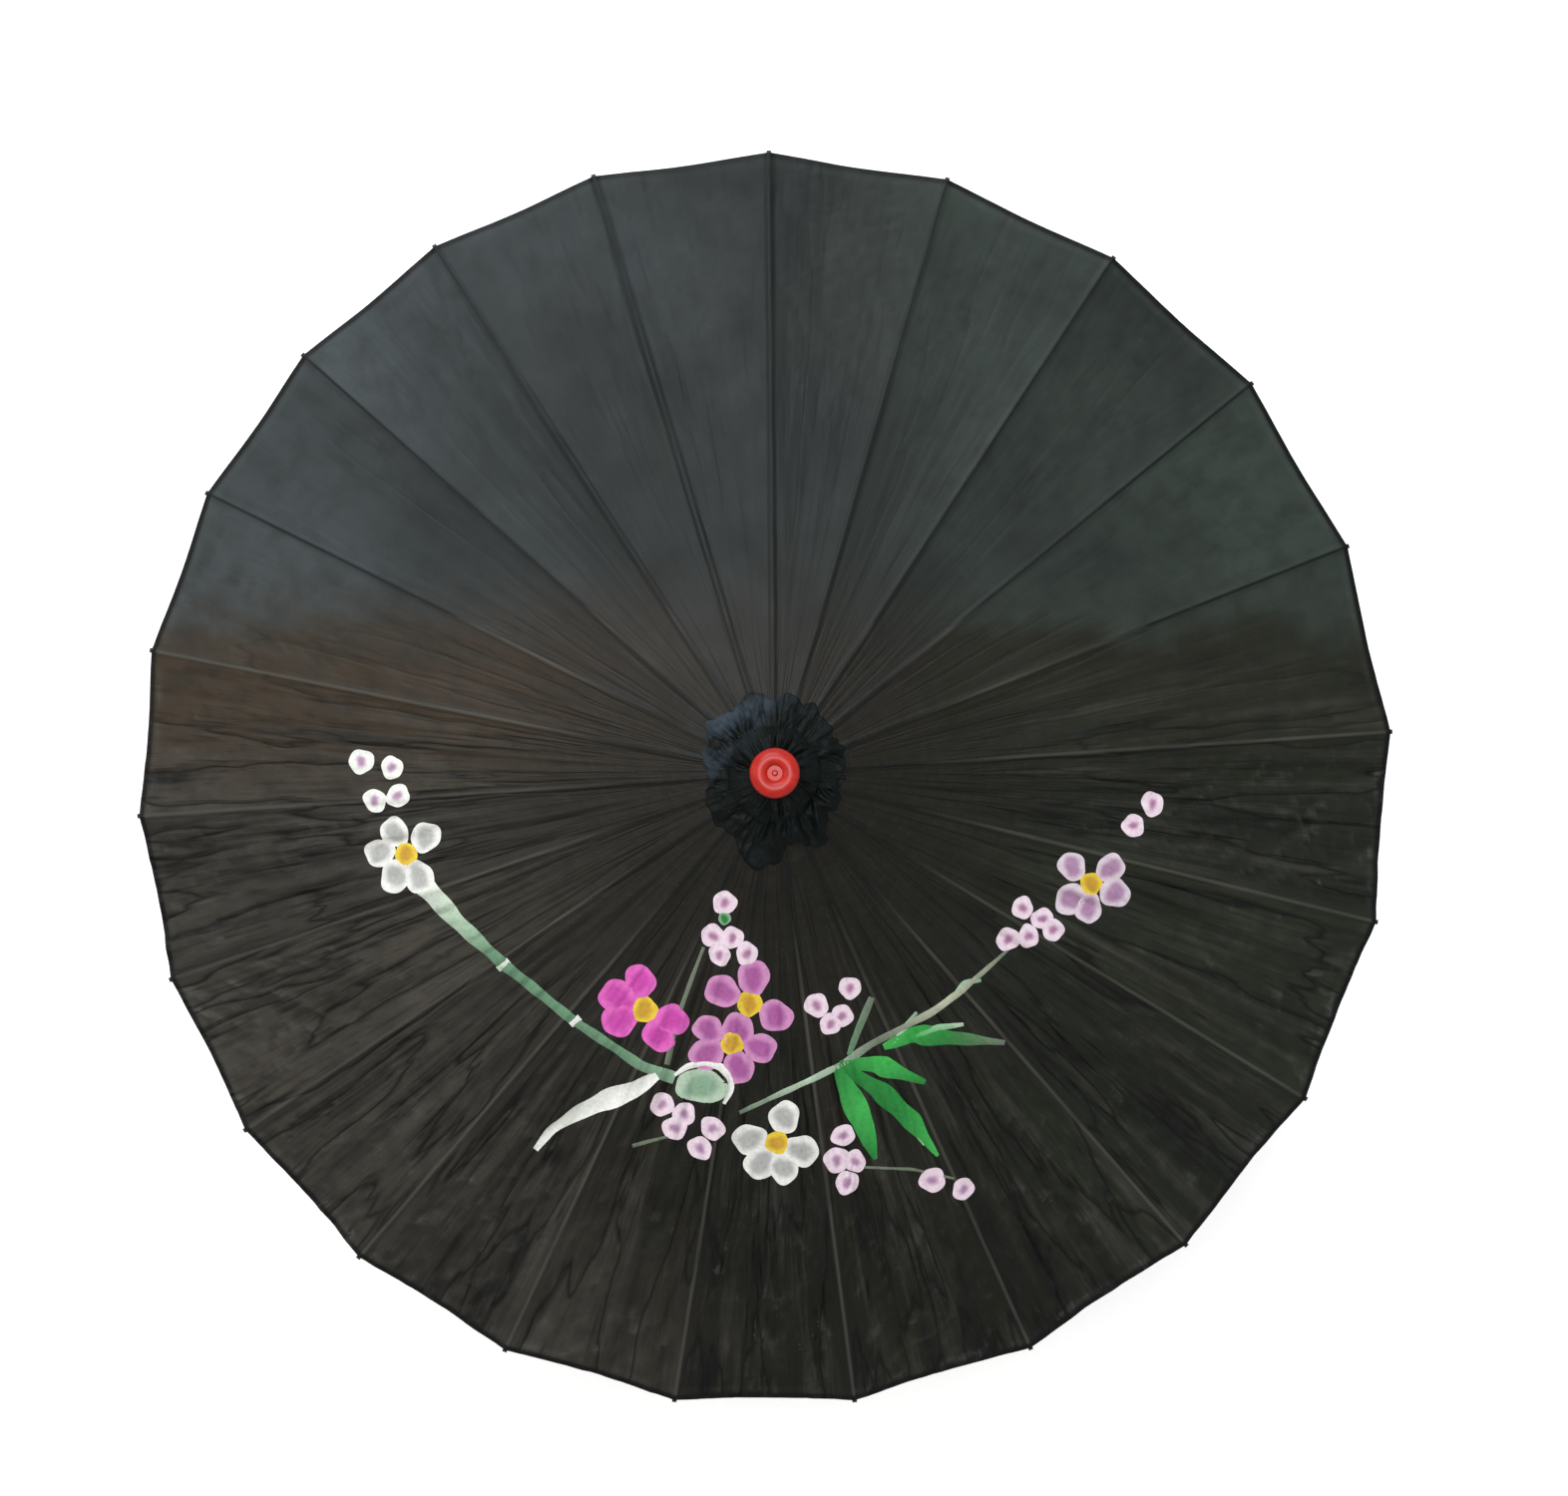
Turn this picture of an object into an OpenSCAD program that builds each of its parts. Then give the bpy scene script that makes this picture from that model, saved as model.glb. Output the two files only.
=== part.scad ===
// A painted parasol on a folding bamboo frame, standing open.
// Z runs up the shaft from the centre of its lower end. Lengths are in mm and angles in degrees.

/* [Umbrella] */
// Distance across the rib tips
span = 820; // [780:10:860]
// Slope of the ribs below level
open_slope = 17; // [15:1:19]
// Height of the rib hinges
hub_height = 515; // [505:5:540]

/* [Frame] */
// Diameter of the shaft
shaft_d = 12; // [11:0.5:13]
// Width of a rib
rib_w = 3.8; // [3.4:0.2:4]
// Distance along a rib from its own hinge to its strut's hinge
strut_at = 185; // [175:5:190]

/* [Canopy] */
// Thickness of the cloth
cloth_t = 0.8; // [0.6:0.1:1]
// Radius of the gathered cover at the crown
crown_r = 50; // [46:1:56]

/* [Finial] */
// Diameter of the finial
finial_d = 31; // [29:1:34]

/* [Hidden] */
$fn = 64;
rib_count = 22;
// how far hand spacing has crowded the ribs toward one side, in degrees
rib_drift = 4.3;
// gap left between two bodies
gap = 0.3;
// gap left around a pin or shaft
fit = 0.05;
sliding_fit = 0.1;

// the hinges on the hub and on the runner lie on circles of this radius
hinge_r = 20;
wire_r = 0.5;
wire_bore_r = 0.8;
peg_r = 0.6;
pin_r = 1;

rib_l = (span / 2 - hinge_r) / cos(open_slope);
rib_top = 2.6;
rib_eye_r = 3;
neck_w = 2.2;
neck_l = 12;
tip_w = 3;
// the deepened part of a rib around its strut's hinge
cheek_depth = 4;
cheek_l = 10;
cheek_slot_w = 1.8;

strut_drop = 2.4;
strut_l = norm([strut_at, strut_drop]);
strut_slope = open_slope + atan(strut_drop / strut_at);
strut_w = 3.2;
strut_eye_r = 2.6;
tongue_w = 1.4;
tongue_l = 13;
tongue_eye_r = 1.8;

runner_height = hub_height - 2 * strut_l * sin(strut_slope);

head_r = 24;
head_slot_w = 2.6;
head_slot_r = hinge_r - rib_eye_r - 0.4;
head_slot_depth = rib_eye_r + 0.4;
groove_r = hinge_r - wire_bore_r;
hub_below = 13;
hub_above = 12;
hub_pin_z = 6.2;
runner_above = 10;
runner_below = 13;
sleeve_r = 9.5;
sleeve_l = 32;

// the catch under the runner
tooth_top = runner_height - sleeve_l - gap;
catch_l = 55;
catch_foot = 3.5;
catch_w = 1.6;
tooth_out = 3.2;
catch_slot_w = 2;
catch_slot_back = 4;
catch_az = -90;

cloth_gap = 0.4;
cloth_v = rib_top + cloth_gap;
cloth_start = 8;
rim_inset = 2;
hem_w = 7;

cover_t = 0.9;
finial_base = hub_height + hub_above + 2;
finial_tube_r = 6;
finial_ring_r = finial_d / 2 - finial_tube_r;
finial_ring_z = 12;
finial_top = 15.5;
socket_depth = 7;
finial_pin_r = 1.1;
finial_pin_l = 16;

// the end of the shaft that is held, turned a little thinner
grip_d = shaft_d - 0.6;
grip_l = 100;
// length of a cut that goes right through the shaft
through_shaft = shaft_d + 1;

function two_digits(k) = k < 10 ? str("0", k) : str(k);
function rib_name(k) = str("rib_", two_digits(k));
function strut_name(k) = str("strut_", two_digits(k));
function even_az(k) = 90 - rib_drift + (k - 1) * 360 / rib_count;
function rib_az(k) = even_az(k) + rib_drift * sin(even_az(k));

// Turns what is drawn along X to the direction of rib k
module at_rib(k) {
    rotate([0, 0, rib_az(k)]) children();
}

// A flat piece of width w drawn by its outline in X and Z
module side_plate(outline, w) {
    rotate([90, 0, 0])
        translate([0, 0, -w / 2])
            linear_extrude(w) polygon(outline);
}

// A round bar of radius r and length l lying along Y and centred on it
module cross_bar(r, l) {
    rotate([90, 0, 0]) cylinder(r = r, h = l, center = true);
}

module ring(ring_r, tube_r) {
    rotate_extrude() translate([ring_r, 0]) circle(tube_r);
}

// The straight stick, thinner where it is held, slotted for the catch and drilled for three pins
module shaft() {
    shaft_top = finial_base + socket_depth - gap;
    color("sienna")
        difference() {
            union() {
                cylinder(d = grip_d, h = grip_l);
                translate([0, 0, grip_l]) cylinder(d = shaft_d, h = shaft_top - grip_l);
            }
            rotate([0, 0, catch_az]) catch_slot();
            translate([0, 0, tooth_top - catch_l])
                rotate([0, 0, catch_az]) cross_bar(pin_r + fit, through_shaft);
            translate([0, 0, hub_height + hub_pin_z]) cross_bar(pin_r + fit, through_shaft);
            translate([0, 0, finial_base + finial_top - finial_pin_l - gap])
                cylinder(r = finial_pin_r + fit, h = finial_pin_l);
        }
}

module catch_slot() {
    below = catch_foot + 2;
    above = 8;
    translate([-catch_slot_back, -catch_slot_w / 2, tooth_top - catch_l - below])
        cube([catch_slot_back + shaft_d, catch_slot_w, catch_l + below + above]);
}

// The leaf that springs out of the shaft and holds the runner up
module catch() {
    face = shaft_d / 2;
    heel = 2;
    neck = 1;
    shoulder_drop = 20;
    tooth_h = 4;
    color("goldenrod")
        rotate([0, 0, catch_az])
            translate([0, 0, tooth_top])
                difference() {
                    side_plate([
                        [-heel, -catch_l - catch_foot],
                        [heel, -catch_l - catch_foot],
                        [heel, -catch_l + catch_foot],
                        [face - neck, -shoulder_drop],
                        [face + tooth_out, -tooth_h],
                        [face + tooth_out, 0],
                        [neck, 0],
                        [-heel, -catch_l + catch_foot]
                    ], catch_w);
                    translate([0, 0, -catch_l]) cross_bar(pin_r + fit, shaft_d);
                }
}

module catch_pin() {
    color("silver")
        rotate([0, 0, catch_az])
            translate([0, 0, tooth_top - catch_l]) cross_bar(pin_r, shaft_d - 1);
}

// Cuts the slots and the wire's groove in a turned head, around a hinge circle at z = 0.
// The slots open downward, or upward with side = -1.
module head_cuts(side) {
    reach = 2 * head_r;
    for (k = [1:rib_count]) {
        at_rib(k)
            translate([head_slot_r, -head_slot_w / 2, side > 0 ? -reach : -head_slot_depth])
                cube([head_r, head_slot_w, reach + head_slot_depth]);
    }
    difference() {
        cylinder(r = head_r + 1, h = 2 * wire_bore_r, center = true);
        cylinder(r = groove_r, h = 4 * wire_bore_r, center = true);
    }
}

// The turned block at the top of the shaft that the ribs hinge in
module top_hub() {
    bore = shaft_d / 2 + fit;
    bevel_r = head_r - 2;
    bevel_h = 3;
    cap_r = head_r - 14;
    color("burlywood")
        translate([0, 0, hub_height])
            difference() {
                rotate_extrude()
                    polygon([
                        [bore, -hub_below],
                        [bevel_r, -hub_below],
                        [head_r, bevel_h - hub_below],
                        [head_r, hub_above / 3],
                        [bevel_r, 2 * hub_above / 3],
                        [cap_r, hub_above],
                        [bore, hub_above]
                    ]);
                head_cuts(1);
                translate([0, 0, hub_pin_z]) cross_bar(pin_r + fit, 3 * head_r);
            }
}

module hub_pin() {
    color("tan")
        translate([0, 0, hub_height + hub_pin_z]) cross_bar(pin_r, 2 * head_r - 8);
}

module hub_wire() {
    color("silver") translate([0, 0, hub_height]) ring(hinge_r, wire_r);
}

// The turned block that slides on the shaft and carries the struts
module runner() {
    bore = shaft_d / 2 + sliding_fit;
    bevel = 2;
    foot_bevel = 3;
    color("burlywood")
        translate([0, 0, runner_height])
            difference() {
                rotate_extrude()
                    polygon([
                        [bore, -sleeve_l],
                        [sleeve_r, -sleeve_l],
                        [sleeve_r, -runner_below - bevel],
                        [head_r - foot_bevel, -runner_below],
                        [head_r, foot_bevel - runner_below],
                        [head_r, runner_above - bevel],
                        [head_r - bevel, runner_above],
                        [bore, runner_above]
                    ]);
                head_cuts(-1);
            }
}

module runner_wire() {
    color("silver") translate([0, 0, runner_height]) ring(hinge_r, wire_r);
}

// One rib along X from its hinge at the origin, its outer face at z = rib_top
module rib_blank() {
    neck_end = neck_l + 14;
    tip_start = rib_l - 20;
    under = -2.4;
    under_far = -0.2;
    under_tip = 0.4;
    intersection() {
        side_plate([
            [0, rib_top],
            [rib_l, rib_top],
            [rib_l, under_tip],
            [strut_at + 1.2 * cheek_l, under_far],
            [strut_at + cheek_l, -cheek_depth],
            [strut_at - cheek_l, -cheek_depth],
            [strut_at - 2.4 * cheek_l, under],
            [0, under]
        ], rib_w);
        linear_extrude(4 * cheek_depth, center = true)
            polygon([
                [0, -neck_w / 2],
                [neck_l, -neck_w / 2],
                [neck_end, -rib_w / 2],
                [tip_start, -rib_w / 2],
                [rib_l, -tip_w / 2],
                [rib_l, tip_w / 2],
                [tip_start, rib_w / 2],
                [neck_end, rib_w / 2],
                [neck_l, neck_w / 2],
                [0, neck_w / 2]
            ]);
    }
    cross_bar(rib_eye_r, neck_w);
}

// A rib, and as a solid of its own the peg that carries its strut
module rib(k) {
    slot_back = 8;
    slot_front = cheek_l + 3;
    slot_top = 0.2;
    color("wheat")
        at_rib(k)
            translate([hinge_r, 0, hub_height])
                rotate([0, open_slope, 0]) {
                    difference() {
                        rib_blank();
                        cross_bar(wire_bore_r, rib_w);
                        translate([strut_at - slot_back, -cheek_slot_w / 2, -2 * cheek_depth])
                            cube([slot_back + slot_front, cheek_slot_w, 2 * cheek_depth - slot_top]);
                        translate([strut_at, 0, -strut_drop]) cross_bar(peg_r + fit, 2 * rib_w);
                    }
                    translate([strut_at, 0, -strut_drop]) cross_bar(peg_r, rib_w);
                }
}

// A strut from its hinge on the runner to its hinge on rib k
module strut(k) {
    foot_l = 16;
    color("khaki")
        at_rib(k)
            translate([hinge_r, 0, runner_height])
                rotate([0, -strut_slope, 0])
                    difference() {
                        union() {
                            strut_blank(foot_l);
                            cross_bar(strut_eye_r, neck_w);
                            translate([strut_l, 0, 0]) cross_bar(tongue_eye_r, tongue_w);
                        }
                        cross_bar(wire_bore_r, strut_w);
                        translate([strut_l, 0, 0]) cross_bar(peg_r + sliding_fit, strut_w);
                    }
}

module strut_blank(foot_l) {
    waist = 2;
    thin = 1.5;
    shoulder_l = 4;
    body_end = strut_l - tongue_l - shoulder_l;
    intersection() {
        side_plate([
            [0, -thin],
            [foot_l, -thin],
            [2 * foot_l, -waist],
            [body_end - foot_l, -waist],
            [body_end, -thin],
            [strut_l, -thin],
            [strut_l, thin],
            [body_end, thin],
            [body_end - foot_l, waist],
            [2 * foot_l, waist],
            [foot_l, thin],
            [0, thin]
        ], strut_w);
        linear_extrude(4 * waist, center = true)
            polygon([
                [0, -neck_w / 2],
                [foot_l, -neck_w / 2],
                [2 * foot_l, -strut_w / 2],
                [body_end, -strut_w / 2],
                [strut_l - tongue_l, -tongue_w / 2],
                [strut_l, -tongue_w / 2],
                [strut_l, tongue_w / 2],
                [strut_l - tongue_l, tongue_w / 2],
                [body_end, strut_w / 2],
                [2 * foot_l, strut_w / 2],
                [foot_l, neck_w / 2],
                [0, neck_w / 2]
            ]);
    }
}

// A point at distance s along rib k and v outward from its centre line
function on_rib(k, s, v) = let (
    r = hinge_r + s * cos(open_slope) + v * sin(open_slope)
) [
    r * cos(rib_az(k)),
    r * sin(rib_az(k)),
    hub_height - s * sin(open_slope) + v * cos(open_slope)
];

// The cloth, flat from rib to rib, with a folded hem along the rim
module canopy() {
    rim = rib_l - rim_inset;
    outline = [
        [cloth_start, cloth_v],
        [rim, cloth_v],
        [rim, cloth_v + 2 * cloth_t],
        [rim - hem_w, cloth_v + 2 * cloth_t],
        [rim - hem_w, cloth_v + cloth_t],
        [cloth_start, cloth_v + cloth_t]
    ];
    n = len(outline);
    last = rib_count - 1;
    color("darkslategray")
        polyhedron(
            points = [for (k = [0:last], p = outline) on_rib(k + 1, p[0], p[1])],
            faces = [for (k = [0:last], i = [0:n - 1])
                let (here = k * n, next = ((k + 1) % rib_count) * n, j = (i + 1) % n)
                [here + i, here + j, next + j, next + i]]
        );
}

// Height of the canopy's upper face over a circle of radius r
function cloth_top(r) =
    hub_height + (cloth_v + cloth_t) / cos(open_slope) - (r - hinge_r) * tan(open_slope);

// The gathered cloth over the hub, from the finial down to a rim that lies on the canopy
module crown_cover() {
    hole = shaft_d / 2 + 2 * gap;
    knee = head_r + 6;
    over_hub = hub_height + hub_above + gap;
    over_bevel = hub_height + 8.6;
    over_rim = hub_height + 4;
    underside = [
        [hole, over_hub],
        [head_r - 13, over_hub],
        [head_r - 1, over_bevel],
        [head_r + 2.4, over_rim],
        [knee, cloth_top(knee) + 1],
        [crown_r, cloth_top(crown_r) + 2 * gap]
    ];
    last = len(underside) - 1;
    top = [for (i = [last:-1:0]) underside[i] + [0, cover_t]];
    color("dimgray") rotate_extrude() polygon(concat(underside, top));
}

// The lacquered knob, a round ring with a sunk middle, standing on a flared foot
module finial() {
    foot_h = 8;
    foot_r = finial_ring_r + 3;
    waist_r = finial_ring_r + 1;
    color("firebrick")
        translate([0, 0, finial_base])
            difference() {
                union() {
                    cylinder(r1 = foot_r, r2 = waist_r, h = foot_h);
                    cylinder(r = finial_ring_r, h = finial_top);
                    translate([0, 0, finial_ring_z]) ring(finial_ring_r, finial_tube_r);
                }
                translate([0, 0, -1]) cylinder(r = shaft_d / 2 + fit, h = socket_depth + 1);
                cylinder(r = finial_pin_r + fit, h = 2 * finial_top);
            }
}

module finial_pin() {
    cap_r = 2;
    cap_h = 0.9;
    color("orangered")
        translate([0, 0, finial_base + finial_top]) {
            translate([0, 0, -finial_pin_l]) cylinder(r = finial_pin_r, h = finial_pin_l);
            cylinder(r1 = cap_r, r2 = finial_pin_r, h = cap_h);
        }
}

shaft();
top_hub();
hub_pin();
hub_wire();
runner();
runner_wire();
catch();
catch_pin();
canopy();
crown_cover();
finial();
finial_pin();
for (k = [1:rib_count]) {
    rib(k);
    strut(k);
}
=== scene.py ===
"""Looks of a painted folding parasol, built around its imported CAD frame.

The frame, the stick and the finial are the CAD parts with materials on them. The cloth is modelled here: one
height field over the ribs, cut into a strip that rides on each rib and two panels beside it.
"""
import math

import bmesh
import bpy
import numpy as np
from mathutils import Matrix, Vector, noise
from mathutils.bvhtree import BVHTree


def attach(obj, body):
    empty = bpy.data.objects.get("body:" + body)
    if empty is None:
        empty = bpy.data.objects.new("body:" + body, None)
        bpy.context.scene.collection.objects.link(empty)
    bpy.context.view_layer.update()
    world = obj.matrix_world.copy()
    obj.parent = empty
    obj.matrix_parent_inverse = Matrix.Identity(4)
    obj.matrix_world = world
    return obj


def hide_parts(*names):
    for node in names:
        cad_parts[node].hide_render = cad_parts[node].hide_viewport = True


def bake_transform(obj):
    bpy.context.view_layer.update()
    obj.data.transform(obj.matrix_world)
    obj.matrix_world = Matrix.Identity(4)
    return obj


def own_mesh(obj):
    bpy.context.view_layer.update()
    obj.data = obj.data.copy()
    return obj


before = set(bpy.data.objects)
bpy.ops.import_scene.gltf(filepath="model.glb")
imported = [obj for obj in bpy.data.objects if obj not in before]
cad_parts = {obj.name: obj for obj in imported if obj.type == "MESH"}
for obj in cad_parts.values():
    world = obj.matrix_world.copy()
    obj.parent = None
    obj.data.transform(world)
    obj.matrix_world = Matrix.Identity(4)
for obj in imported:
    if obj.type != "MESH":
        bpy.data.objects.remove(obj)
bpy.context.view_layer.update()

# ---------------------------------------------------------------- sizes, in metres, and angles, in radians

RIB_COUNT = 22
RIB_DRIFT = math.radians(4.3)
HINGE_R = 0.020
HUB_Z = 0.515
SLOPE = math.radians(17)

CLOTH_T = 0.0005
CLOTH_V = 0.0033          # the cloth's upper face, out from a rib's centre line
CLOTH_R_IN = 0.0285
CLOTH_R_OUT = 0.4092
RIM_SCALLOP = 0.0012
HEM_W = 0.006
HEM_T = 0.0003
TIGHT_SAG = 0.0010        # the sag in the middle of a gore, and what slack adds to it
SLACK_SAG = 0.0022
RIDGE = 0.0006            # how far a rib lifts the cloth along its line
LONG_CREASE = 0.0036
SHORT_CREASE = 0.0042
STRIP_W = 0.0026          # half the width of the strip that stays on a rib
APEX_Z = HUB_Z + CLOTH_V / math.cos(SLOPE) + HINGE_R * math.tan(SLOPE)

COVER_R = 0.047
COVER_NECK_R = 0.0072
COVER_NECK_Z = HUB_Z + 0.0128

ROWS = 120
COLUMNS = 13
STRIP_COLUMNS = 7
SEED = 22
PAINT_EDGE = 0.00016      # how far the edge of a dab stands off the cloth, and its middle in each coat
STEM_COAT = 0.00024
BLOSSOM_COAT = 0.00044
BUD_COAT = 0.00064
PAINT_STEP = 0.00003      # what each dab adds to its coat, up to so many dabs
PAINT_STEPS = 6
THREAD = 0.0009           # the pitch of the cloth's weave
TUCK = 0.0006             # how far a sector of the crown cover reaches down under the next one


def rib_azimuths():
    even = np.pi / 2 - RIB_DRIFT + np.arange(RIB_COUNT) * 2 * np.pi / RIB_COUNT
    return even + RIB_DRIFT * np.sin(even)


RIBS = rib_azimuths()


def direction(azimuth):
    return np.array([math.cos(azimuth), math.sin(azimuth)])


# ---------------------------------------------------------------- the cloth's height field

def fbm(points, scale, octaves=3):
    """Smooth noise at each point of an (n, 3) array, about -1 to 1, with features about scale apart."""
    return np.array([noise.fractal(Vector(p), 0.9, 2.0, octaves) for p in points / scale])


def smooth(low, high, x):
    t = np.clip((x - low) / (high - low), 0, 1)
    return t * t * (3 - 2 * t)


def gore_of(xy):
    """The gore each plan point is in, its azimuth from that gore's middle, and the gore's half angle."""
    turn = np.mod(np.arctan2(xy[:, 1], xy[:, 0]) - RIBS[0], 2 * np.pi)
    starts = RIBS - RIBS[0]
    gore = np.searchsorted(starts, turn, side="right") - 1
    ends = np.append(starts[1:], 2 * np.pi)
    half = (ends[gore] - starts[gore]) / 2
    return gore, turn - starts[gore] - half, half


def flat_height(xy):
    """Height of the cloth if it lay flat from rib to rib."""
    _, off, half = gore_of(xy)
    return APEX_Z - math.tan(SLOPE) / np.cos(half) * np.hypot(*xy.T) * np.cos(off)


def slackness(xy):
    """How loose the cloth is, from tight near +Y to slack on the opposite side."""
    r = np.hypot(*xy.T)
    return 0.12 + 0.88 * smooth(0.45, -0.25, xy[:, 1] / np.maximum(r, 1e-6))


def rib_distance(xy):
    """How far each plan point is from the nearest rib's line."""
    _, off, half = gore_of(xy)
    return np.hypot(*xy.T) * np.sin(half - np.abs(off))


def creases(xy):
    """Long creases that run with the ribs, and shorter ones that lean from the rim toward the next rib."""
    r = np.hypot(*xy.T)
    gore, off, half = gore_of(xy)
    across = off / half
    long_ones = fbm(np.c_[across * 1.1, gore * 5.3, r * 4.0], 0.42, 2)
    lean = across + (0.4 - r) * 9.0 * np.sin(gore * 2.4 + 1.0)
    short_ones = np.abs(fbm(np.c_[lean, gore * 3.7, r * 8.0], 0.42, 3))
    folds = LONG_CREASE * long_ones * smooth(0.05, 0.22, r)
    return folds - SHORT_CREASE * short_ones * smooth(0.12, 0.38, r)


def cloth_height(xy):
    """Height of the cloth's upper face over plan points, with its sag, ridges and wrinkles."""
    r = np.hypot(*xy.T)
    _, off, half = gore_of(xy)
    across = np.abs(off) / half                      # 0 in the middle of a gore, 1 on a rib
    from_rib = rib_distance(xy)
    loose = slackness(xy)
    sag = -(TIGHT_SAG + SLACK_SAG * loose) * smooth(0.03, 0.3, r) * (1 - across ** 1.7)
    ridge = RIDGE * (1 - smooth(0.0006, 0.0032, from_rib))
    free = smooth(0.001, 0.012, from_rib)
    hem_r = CLOTH_R_OUT - HEM_W
    hem = HEM_T * smooth(hem_r - 0.002, hem_r, r * np.cos(off) / np.cos(half))
    return flat_height(xy) + sag + ridge + hem + creases(xy) * loose * free


def cloth_normals(xy):
    step = 0.0005
    dx = cloth_height(xy + [step, 0]) - cloth_height(xy - [step, 0])
    dy = cloth_height(xy + [0, step]) - cloth_height(xy - [0, step])
    n = np.c_[-dx, -dy, np.full(len(xy), 2 * step)]
    return n / np.linalg.norm(n, axis=1, keepdims=True)


# ---------------------------------------------------------------- mesh helpers

def new_object(name, points, faces, material, normals=None, floats=None, colours=None):
    """A smooth mesh object. floats are named point attributes, and colours is a point colour for paint."""
    mesh = bpy.data.meshes.new(name)
    mesh.from_pydata([tuple(p) for p in points], [], [tuple(f) for f in faces])
    mesh.polygons.foreach_set("use_smooth", [True] * len(mesh.polygons))
    for key, values in (floats or {}).items():
        mesh.attributes.new(key, "FLOAT", "POINT").data.foreach_set("value", np.asarray(values, np.float32))
    if colours is not None:
        rgba = np.c_[colours, np.ones(len(colours))].astype(np.float32)
        mesh.color_attributes.new("paint", "FLOAT_COLOR", "POINT").data.foreach_set("color", rgba.ravel())
    mesh.materials.append(material)
    mesh.validate()
    if normals is not None:
        mesh.normals_split_custom_set_from_vertices([tuple(n) for n in normals])
    made = bpy.data.objects.new(name, mesh)
    bpy.context.scene.collection.objects.link(made)
    return made


def grid_faces(rows, columns, first=0, flip=False):
    faces = []
    for i in range(rows - 1):
        for j in range(columns - 1):
            a = first + i * columns + j
            face = (a, a + 1, a + columns + 1, a + columns)
            faces.append(face[::-1] if flip else face)
    return faces


def closed_sheet(rows, columns, flip):
    """Faces of an upper grid and a lower one, with the edge between them closed."""
    count = rows * columns
    faces = grid_faces(rows, columns, 0, flip) + grid_faces(rows, columns, count, not flip)
    edge = list(range(columns))
    edge += [i * columns + columns - 1 for i in range(1, rows)]
    edge += [(rows - 1) * columns + j for j in range(columns - 2, -1, -1)]
    edge += [i * columns for i in range(rows - 2, 0, -1)]
    for a, b in zip(edge, edge[1:] + edge[:1]):
        face = (a, a + count, b + count, b)
        faces.append(face[::-1] if flip else face)
    return faces


# ---------------------------------------------------------------- node helpers

def material(name, base, rough, build=None, **inputs):
    """A node material. build(nodes) may add to it, and inputs are constants for the shader's sockets."""
    made = bpy.data.materials.new(name)
    made.use_nodes = True
    tree = made.node_tree
    shader = tree.nodes["Principled BSDF"]
    shader.inputs["Base Color"].default_value = (*base, 1)
    shader.inputs["Roughness"].default_value = rough
    for key, value in inputs.items():
        shader.inputs[key.replace("_", " ")].default_value = value
    if build:
        build(Nodes(tree, shader))
    return made


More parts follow.
